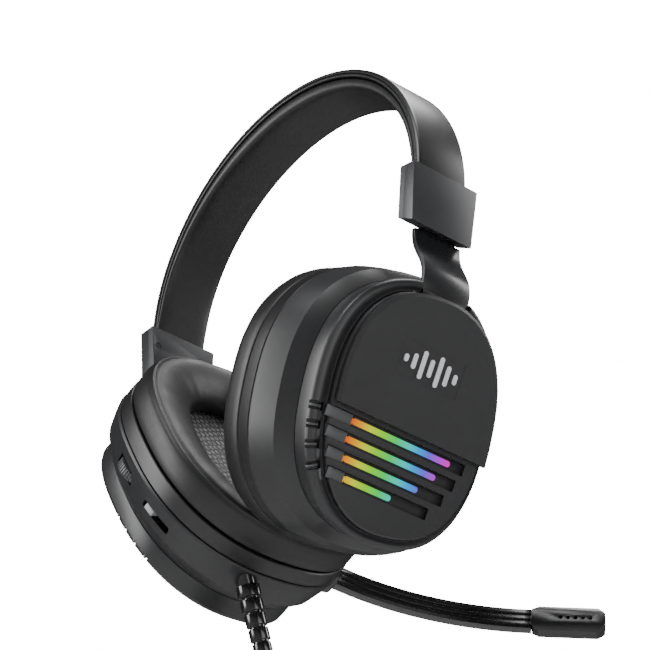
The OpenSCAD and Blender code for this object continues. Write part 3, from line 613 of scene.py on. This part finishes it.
SEAT = 5.5 * MM
route = [relief_end - relief_way * SEAT, relief_end]
route += [Vector(p) * MM for p in LEAD_ROUTE]
coil_steps = int((LAST_ANGLE - START_ANGLE) / ANGLE_STEP)
route += [
    coil_point(START_ANGLE + (LAST_ANGLE - START_ANGLE) * i / coil_steps) * MM
    for i in range(1, coil_steps + 1)
]
route += [Vector(p) * MM for p in TAIL_ROUTE]
lead_curve = bpy.data.curves.new("lead_cord", "CURVE")
lead_curve.dimensions = "3D"
lead_curve.bevel_depth = LEAD_D / 2
lead_curve.bevel_resolution = 3
lead_curve.resolution_u = 2
lead_curve.use_fill_caps = True
spline = lead_curve.splines.new("POLY")
spline.points.add(len(route) - 1)
for point, place in zip(spline.points, route):
    point.co = (*place, 1)
spline.use_smooth = True
lead = bpy.data.objects.new("lead_cord", lead_curve)
bpy.context.scene.collection.objects.link(lead)
lead.data.materials.append(FINISHES["lead_sleeve"])
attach(lead, "cup_left")
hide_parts("lead", "lead_coil")

tie = finish_piece(rounded("lead_tie", 0.3), "cup_left", "tie_fabric", ["lead_tie"])
plug_grip = finish_piece(
    rounded("plug_grip", 0.8, 3), "cup_left", "plug_plastic", ["plug_grip"]
)
plug_shell = finish_piece(
    rounded("plug_shell", 0.12), "cup_left", "plug_steel", ["plug_shell"]
)

# ---------------------------------------------------------------- headband
ARCH_W, ARCH_H = 85.0, 80.0
T_TOP, T_END = 10.7, 5.8
BAND_W = 25.0
SPRING_LINE = T_TOP - ARCH_H
LEG_T = -5.0
COVER_T, PAD_FROM = 2.2, 3.3


def arch_frame(t):
    """Point on the arch's outer face and its outward normal, t in degrees."""
    a = math.radians(t)
    n = Vector((ARCH_H * math.cos(a), 0, ARCH_W * math.sin(a))).normalized()
    return Vector((ARCH_W * math.cos(a), 0, SPRING_LINE + ARCH_H * math.sin(a))), n


LEG_N = arch_frame(LEG_T)[1]
LEG_DOWN = Vector((LEG_N.z, 0, -LEG_N.x)).normalized()
if LEG_DOWN.z > 0:
    LEG_DOWN = -LEG_DOWN


def stations(end_up, count):
    """Frames along the whole arch, from the left end to the right one."""
    start = LEG_T + max(0.0, end_up) / ARCH_W * 180 / math.pi
    rows = []
    for i in range(count + 1):
        t = start + (180 - 2 * start) * i / count
        rows.append((t, *arch_frame(t)))
    if end_up < 0:
        p, n = arch_frame(LEG_T)
        rows.insert(0, (LEG_T, p + LEG_DOWN * -end_up, n))
        flip = Vector((-1, 1, 1))
        last = p + LEG_DOWN * -end_up
        rows.append((180 - LEG_T, last * flip, n * flip))
    return rows


def band(name, profile, end_up):
    """Sweep a closed profile of (across, depth) points along the arch."""
    rings = []
    for _, p, n in stations(end_up, 72):
        rings.append([(p - n * depth + Vector((0, y, 0))) * MM for y, depth in profile])
    return bridged(name, rings)


def round_rect(w, top, bottom, r_top, r_bottom, steps=6):
    """Half-width w, faces at depth top and bottom, with rounded corners."""
    points = []
    for cy, cz, r, a0 in (
        (w - r_top, top + r_top, r_top, 0),
        (w - r_bottom, bottom - r_bottom, r_bottom, 90),
        (-w + r_bottom, bottom - r_bottom, r_bottom, 180),
        (-w + r_top, top + r_top, r_top, 270),
    ):
        for i in range(steps + 1):
            a = math.radians(a0 + 90 * i / steps)
            points.append((cy + r * math.sin(a), cz - r * math.cos(a)))
    return points


half = BAND_W / 2
# crowned cover with soft shoulders
SHOULDER_R = 1.5
COVER_CROWN = 0.25
cover_profile = []
for y, depth in round_rect(half, 0.0, COVER_T, SHOULDER_R, 0.35):
    crown = COVER_CROWN * (y / half) ** 2 if depth < SHOULDER_R else 0.0
    cover_profile.append((y, depth + crown))
cover = band("headband_cover_shell", cover_profile, -1.5)
finish_piece(cover, "headband", "cover_plastic", ["headband_cover"], smooth=40)

# a slim bead between cover and pad, which shows as the band's second line
BEAD_R = 0.45
bead_profile = round_rect(half - 0.35, COVER_T + 0.03, PAD_FROM + 0.45, BEAD_R, BEAD_R, 3)
bead = band("headband_bead", bead_profile, 4.0)
finish_piece(bead, "headband", "cover_plastic", smooth=50)


def soft_pad():
    """The pad: full in the middle, drawn in at its edges, with slow creases."""
    rows = stations(6.8, 96)
    w = half - 0.3
    top = PAD_FROM + 0.25
    steps = 40
    rings = []
    for k, (t, p, n) in enumerate(rows):
        share = max(0.0, math.sin(math.radians(min(max(t, 0), 180)))) ** 1.5
        thick = T_END + (T_TOP - T_END) * share
        near_end = min(k, len(rows) - 1 - k) / 5.0
        fill = 1 - 0.55 * max(0.0, 1 - near_end) ** 2
        bottom = top + (thick - top) * fill
        middle = (top + bottom) / 2
        ring = []
        for i in range(steps):
            a = 2 * math.pi * i / steps
            c, s = math.cos(a), math.sin(a)
            y = w * math.copysign(abs(c) ** 0.42, c)
            depth = middle + (bottom - middle) * math.copysign(abs(s) ** 0.62, s)
            q = (p - n * depth + Vector((0, y, 0))) * MM
            if s > 0:
                slow, fine = noise.noise(q * 55), noise.noise(q * 160)
                q += n * ((0.22 * slow + 0.1 * fine) * s * MM)
            ring.append(q)
        rings.append(ring)
    return bridged("headband_pad_soft", rings)


pad = finish_piece(soft_pad(), "headband", "band_leatherette", ["headband_pad"], smooth=60)

for node, width, slot in (
    ("cap_outer", 0.5, "cap_plastic"), ("cap_inner", 0.35, "cap_inner_plastic")
):
    for side in SIDES:
        piece = rounded(f"{node}_{side}", width, 3)
        finish_piece(piece, "headband", slot, [f"{node}_{side}"])

for side in SIDES:
    piece = rounded(f"yoke_{side}", 0.45, 3, 40)
    finish_piece(piece, f"slider_{side}", "yoke_plastic", [f"yoke_{side}"])


# ---------------------------------------------------------------- ear cups
def turned_profile(name, profile):
    """A closed ring round the cup; each profile point is (depth, outline, inset)."""
    return bridged(name, [section(*point) for point in profile], closed=True)


def ear_cushion():
    """Soft ring: full walls, a slight fold round its crown, puckers and slow creases."""
    steps = 144
    wall_run = 24
    outer = [s - 0.55 for s in HOUSING_IN]
    # share of depth, share of the way to the ear opening, lift off the surface in mm
    profile = [
        (0.01, 0.06, 0), (0.015, 0.035, 0), (0.035, 0.012, 0), (0.08, 0.0, 0),
        (0.3, -0.004, 0),
        (0.55, -0.002, 0), (0.72, 0.012, 0), (0.82, 0.03, 0), (0.885, 0.055, -0.25),
        (0.905, 0.068, 0.15), (0.925, 0.082, -0.25), (0.96, 0.115, 0), (0.985, 0.16, 0),
        (1.0, 0.23, 0), (0.995, 0.33, 0), (0.965, 0.45, 0), (0.91, 0.58, 0), (0.83, 0.7, 0),
        (0.72, 0.81, 0), (0.58, 0.9, 0), (0.42, 0.96, 0), (0.24, 0.985, 0), (0.08, 0.975, 0),
        (0.02, 0.93, 0),
    ]
    n = len(profile)
    rings = []
    for k, (deep, share, lift) in enumerate(profile):
        size = between(outer, EAR, share)
        ring = section(-MOUNT_D - 0.3 - deep * CUSHION_T, size, 0.0, steps)
        before, after = profile[k - 1], profile[(k + 1) % n]
        along_d = -(after[0] - before[0]) * CUSHION_T
        along_r = -(after[1] - before[1]) * wall_run
        normal_d, normal_r = -along_r, along_d
        length = math.hypot(normal_d, normal_r)
        normal_d, normal_r = normal_d / length, normal_r / length
        moved = []
        for i, q in enumerate(ring):
            radial = q - CUP_AT
            radial -= radial.dot(OUT) * OUT
            radial.normalize()
            way = -(normal_d * OUT) - normal_r * radial
            soft = 0.0
            if 0.1 < deep and abs(lift) < 0.3:
                a = 2 * math.pi * i / steps
                c, s = math.cos(a), math.sin(a)
                puckers = noise.noise(Vector((c * 9, s * 9, deep * 1.6)))
                slow = noise.noise(Vector((c * 2.3, s * 2.3, deep * 2 + 7)))
                soft = 0.16 * puckers * min(1.0, share * 4 + 0.3) + 0.3 * slow
            moved.append(q + way * (lift + soft - 0.3) * MM)
        rings.append(moved)
    return bridged("ear_cushion_soft_left", rings, closed=True)


def mount_ring():
    """Flush strip between cushion and housing, with a fine groove at each edge."""
    profile = [
        (-6.98, HOUSING_IN, 2.2), (-6.98, HOUSING_IN, 1.25), (-6.85, HOUSING_IN, 0.8),
        (-6.6, HOUSING_IN, 0.55), (-3.5, HOUSING_IN, 0.42), (-0.45, HOUSING_IN, 0.5),
        (-0.15, HOUSING_IN, 0.75), (-0.02, HOUSING_IN, 1.3), (-0.02, HOUSING_IN, 4.1),
        (-6.9, HOUSING_IN, 4.1),
    ]
    return turned_profile("mount_ring_grooved_left", profile)


def housing():
    """Outer shell: a rounded foot, a creased shoulder and a chamfer above it."""
    profile = [
        (0.22, HOUSING_IN, 2.2), (0.22, HOUSING_IN, 1.1), (0.35, HOUSING_IN, 0.55),
        (0.7, HOUSING_IN, 0.25), (1.3, HOUSING_IN, 0.1),
        (6.0, between(HOUSING_IN, HOUSING_EDGE, 0.42), -0.1), (12.4, HOUSING_EDGE, 0.0),
        (17.8, HOUSING_OUT, 0.0), (18.0, HOUSING_OUT, 0.3), (18.0, HOUSING_OUT, 3.0),
        (15.8, HOUSING_OUT, 4.2), (12.0, HOUSING_EDGE, 2.4), (0.6, HOUSING_IN, 2.4),
    ]
    return turned_profile("housing_shell_left", profile)


def outer_ring():
    """Raised ring round the face: straight wall, rounded crown, dip towards the face."""
    foot = [s - 0.2 for s in HOUSING_OUT]

    def on_wall(t):
        return between(foot, RIM_EDGE, t)

    def on_crown(t):
        return between(RIM_EDGE, FACE, t)

    profile = [
        (18.05, foot, 2.2), (18.05, foot, 0.9), (18.15, foot, 0.45), (18.5, foot, 0.12),
        (19.4, foot, 0.0), (22.6, on_wall(0.5), 0.0), (24.6, on_wall(0.85), 0.05),
        (25.6, RIM_EDGE, 0.15), (26.4, RIM_EDGE, 0.5), (27.0, on_crown(0.16), 0.4),
        (27.35, on_crown(0.3), 0.4), (27.4, on_crown(0.42), 0.3),
        (27.2, on_crown(0.55), 0.2), (26.8, on_crown(0.72), 0.1),
        (26.55, on_crown(0.86), 0.0), (26.6, on_crown(0.95), -0.1),
        (25.4, on_crown(0.95), -0.1), (24.8, RIM_EDGE, 2.25), (18.6, RIM_EDGE, 2.25),
    ]
    return turned_profile("outer_ring_shell_left", profile)


# windows and pockets that only the left housing has, in the cup's frame, in millimetres
WHEEL = (7.6, 44.6, -6.0)
SWITCH = (7.6, 40.0, -31.0)
SWITCH_TURN = math.radians(-24)
HUB = (9.4, -46.0, -18.5)


def cylinder_cutter(centre, radius, height):
    """A cylinder for cutting, its axis along the cup's depth."""
    bpy.ops.object.select_all(action="DESELECT")
    bpy.ops.mesh.primitive_cylinder_add(
        vertices=64, radius=radius * MM, depth=height * MM
    )
    obj = bpy.context.object
    lying = Matrix.Rotation(math.pi / 2, 4, "Y")
    obj.data.transform(CUP @ Matrix.Translation(Vector(centre) * MM) @ lying)
    return obj


def cup_frame(centre, turned=0.0):
    """A frame in the cup, turned about its depth."""
    return CUP @ Matrix.Translation(Vector(centre) * MM) @ Matrix.Rotation(turned, 4, "X")


cushion = ear_cushion()
ring = mount_ring()
shell = housing()
rim = outer_ring()

# each bar's rear and front ends, and its channel's front end
BAR_ROWS = [(23.5, -25, -31), (23.5, -20.5, -29), (22, -14.5, -26), (19, -4, -21)]
BAR_W = 2.4
BAR_PITCH = 7.0
FIRST_BAR_V = -10.5

# the yoke's way in through the rim
cut(rim, block("yoke_gap", (0, 0, 0), (20, 24.2, 20), cup_frame((31.6, 0, 47.8)), 0.4))


def notch_places(rear_step):
    """Where the four notches sit on the ring's rear crown, one behind each channel."""
    outline = [q for q in oval(*RIM_EDGE, steps=720) if q[0] > 0]
    places = []
    for k in range(4):
        v = FIRST_BAR_V - k * BAR_PITCH
        y, w = min(outline, key=lambda q: abs(q[1] - v))
        y2, w2 = min(outline, key=lambda q: abs(q[1] - (v + 1.5)))
        places.append(cup_frame((0, y - rear_step, w), -math.atan2(y2 - y, w2 - w)))
    return places


notches = [
    block(f"notch_{k}", (RIM_TOP, 0, 0), (4.6, 6.4, 3.3), at, 0.4)
    for k, at in enumerate(notch_places(2.2))
]
cut(rim, joined("notch_cutter", notches))
ribs = [
    block(f"rib_{k}", (25.5, 0, 0), (1.6, 4.8, 0.9), at, 0.2)
    for k, at in enumerate(notch_places(2.6))
]
left_ribs = joined("notch_ribs_left", ribs)

pieces = {
    "ear_cushion": (cushion, "cushion_leatherette", "ear_cushion_soft_right", 60),
    "mount_ring": (ring, "mount_plastic", "mount_ring_grooved_right", 30),
    "housing": (shell, "housing_plastic", "housing_shell_right", 21),
    "outer_ring": (rim, "ring_plastic", "outer_ring_shell_right", 30),
}
for node, (left, slot, right_name, smooth) in pieces.items():
    right = mirrored(left, right_name)
    if node == "housing":
        cut(left, cylinder_cutter(WHEEL, 9.0, 4.8))
        opening = cup_frame(SWITCH, SWITCH_TURN)
        cut(left, block("switch_slot", (0, 0, 0), (3.2, 12, 16), opening, 0.8))
        cut(left, cylinder_cutter(HUB, 8.7, 8.6))
    for side, piece in (("left", left), ("right", right)):
        finish_piece(piece, f"cup_{side}", slot, [f"{node}_{side}"], smooth=smooth)
        node == "ear_cushion"

# face plates, cover plates and badges keep their CAD outlines, with softened edges
for side in SIDES:
    for node, width, slot in (
        ("face_plate", 0.25, "face_plastic"), ("cover_plate", 0.4, "plate_plastic"),
        ("wave_badge", 0.12, "badge"), ("speaker_cloth", 0.05, "speaker_mesh"),
    ):
        piece = rounded(f"{node}_{side}", width, 2, 38)
        finish_piece(piece, f"cup_{side}", slot, [f"{node}_{side}"], smooth=14)

# a plate that fills the badge's pocket, so that only its bars stand out
seat = block("badge_seat_left", (31.12, 0, 19), (0.3, 29.9, 14.1), CUP, 0.05)
for side, piece in (("right", mirrored(seat, "badge_seat_right")), ("left", seat)):
    finish_piece(piece, f"cup_{side}", "plate_plastic", smooth=8)

# ---------------------------------------------------------------- light bars and their channels
CHANNEL_FLOOR = FACE_TOP - 1.4


def capsule(name, y0, y1, v, d0, d1, width):
    """A round-ended bar with a domed top, lying along y."""
    steps = 14
    dome = 0.35
    r = width / 2
    outline = []
    for i in range(steps + 1):
        a = -math.pi / 2 + math.pi * i / steps
        outline.append((y0 - r + r * math.cos(a), v + r * math.sin(a)))
    for i in range(steps + 1):
        a = math.pi / 2 + math.pi * i / steps
        outline.append((y1 + r + r * math.cos(a), v + r * math.sin(a)))
    middle = (y0 + y1) / 2

    def ring_at(d, shrink):
        rows = []
        for y, w in outline:
            along = math.copysign(max(0.0, abs(y - middle) - shrink), y - middle)
            rows.append(cup(d, middle + along, v + (w - v) * max(0.02, 1 - shrink / r)))
        return rows

    rings = [ring_at(d0, 0.0), ring_at(d1 - dome, 0.0), ring_at(d1 - dome * 0.4, r * 0.16)]
    rings += [ring_at(d1 - dome * 0.1, r * 0.42), ring_at(d1, r * 0.8)]
    return bridged(name, rings)


CUP_Y = CUP_AT.y / MM
RUN_REAR, RUN_FRONT = BAR_ROWS[0][0], BAR_ROWS[0][1]
glow = glowing("light_bar_glow", (RUN_REAR + CUP_Y) * MM, (RUN_FRONT + CUP_Y) * MM, 1.0)
FINISHES["light_bars"] = glow
BAR_FOOT, BAR_TOP = RIM_TOP - 1.6, CHANNEL_FLOOR + 0.6
LINING_D = CHANNEL_FLOOR + 0.06


def lining(name, d, y, v, size, bevel):
    """A flat block in a channel."""
    at = Matrix.Translation(cup(d, y, v)) @ CUP_TURN
    return block(name, (0, 0, 0), size, at, bevel)


bars, floors, greys = [], [], []
for k, (rear, front, channel_front) in enumerate(BAR_ROWS):
    v = FIRST_BAR_V - k * BAR_PITCH
    channel_rear = 37 - 3 * k
    bars.append(capsule(f"bar_{k}", rear - 0.1, front + 0.1, v, BAR_FOOT, BAR_TOP, BAR_W))
    size = (0.3, rear - channel_front - 0.6, 4.3)
    y = (rear + channel_front) / 2 - 0.1
    floors.append(lining(f"floor_{k}", LINING_D, y, v, size, 0.08))
    size = (0.5, channel_rear - rear - 1.2, 4.2)
    y = (rear + channel_rear) / 2 - 0.4
    greys.append(lining(f"grey_{k}", LINING_D + 0.1, y, v, size, 0.12))
left_bars = joined("light_bars_lit_left", bars)
left_floors = joined("channel_floors_left", floors)
left_greys = joined("channel_ends_left", greys)
for left, right_name, slot, nodes, material in (
    (left_bars, "light_bars_lit_right", "light_bars", ("light_bars",), glow),
    (left_floors, "channel_floors_right", "face_plastic", (), CHANNEL_BLACK),
    (left_greys, "channel_ends_right", "face_plastic", (), CHANNEL_GREY),
    (left_ribs, "notch_ribs_right", "ring_plastic", (), CHANNEL_GREY),
):
    right = mirrored(left, right_name)
    for side, piece in (("left", left), ("right", right)):
        named = [f"{n}_{side}" for n in nodes]
        finish_piece(piece, f"cup_{side}", slot, named, material, 40)

# ---------------------------------------------------------------- controls and microphone
for node, width, slot, body in (
    ("volume_wheel", 0.12, "wheel_plastic", "volume_wheel"),
    ("mute_switch", 0.35, "switch_plastic", "mute_switch"),
    ("mic_boom", 0.35, "boom_rubber", "microphone"),
    ("mic_shell", 0.45, "mic_plastic", "microphone"),
    ("mic_cover", 0.45, "mic_plastic", "microphone"),
    ("strain_relief", 0.3, "relief_rubber", "cup_left"),
):
    finish_piece(rounded(node, width, 3, 35), body, slot, [node])

# every CAD node that stays gets its finish
SLOT_OF = {s["node"]: s["material_slot"] for s in frame["record"]["subparts"]}
for node, obj in frame["nodes"].items():
    if obj.hide_render:
        continue
    if not obj.material_slots:
        obj.data.materials.append(None)
    for held in obj.material_slots:
        held.material = FINISHES[SLOT_OF[node]]

# ---------------------------------------------------------------- studio
FLOOR_Z = -0.85
AIR, BACKDROP = 0.045, 16.0
world = bpy.data.worlds.new("studio_air")
bpy.context.scene.world = world
world.use_nodes = True
tree = world.node_tree
background = tree.nodes["Background"]
background.inputs["Color"].default_value = (1, 1, 1, 1)
path = tree.nodes.new("ShaderNodeLightPath")
level = tree.nodes.new("ShaderNodeMapRange")
tree.links.new(path.outputs["Is Camera Ray"], level.inputs["Value"])
level.inputs["To Min"].default_value = AIR
level.inputs["To Max"].default_value = BACKDROP
tree.links.new(level.outputs[0], background.inputs["Strength"])

bpy.ops.object.select_all(action="DESELECT")
bpy.ops.mesh.primitive_plane_add(size=60, location=(0, 0, FLOOR_Z))
floor = bpy.context.object
floor.name = "studio_floor"
floor_finish = Finish("floor_pale", (0.82, 0.82, 0.82), 0.7)
floor_finish.set("Roughness", 0.62 + floor_finish.noise(6.0) * 0.12)
floor.data.materials.append(floor_finish.material)


def softbox(name, where, aim, size, power):
    """A soft rectangular light that faces a point."""
    data = bpy.data.lights.new(name, "AREA")
    data.shape = "RECTANGLE"
    data.size, data.size_y = size
    data.energy = power
    obj = bpy.data.objects.new(name, data)
    bpy.context.scene.collection.objects.link(obj)
    obj.location = where
    obj.rotation_euler = (Vector(aim) - Vector(where)).to_track_quat("-Z", "Y").to_euler()
    return obj


MIDDLE = Vector((0.0, 0.0, -0.11))


def from_camera(right, up, back, distance):
    """A point round the headset: to the camera's right, up, and back towards it."""
    way = (RIGHT * right - DOWN * up - DEPTH * back).normalized()
    return MIDDLE + way * distance


softbox("side_left", from_camera(-1.5, 0.45, 0.1, 1.1), MIDDLE, (0.45, 0.9), 12)
softbox("key_above", from_camera(-0.35, 1.5, 0.3, 1.1), MIDDLE, (0.7, 0.4), 9)
softbox("edge_right", from_camera(1.4, 0.4, -0.5, 1.1), MIDDLE, (0.2, 0.9), 5)
softbox("back_above", from_camera(0.5, 1.3, -0.9, 1.1), MIDDLE, (0.8, 0.35), 10)
softbox("front_fill", from_camera(1.1, 0.5, 1.3, 1.3), MIDDLE, (0.8, 0.8), 5)

# a wide light close above the floor keeps it pale without flattening the headset
floor_light = softbox("floor_light", (0, 0, -0.5), (0, 0, FLOOR_Z), (44, 44), 2400)
floor_light.visible_camera = False
floor_light.visible_glossy = False
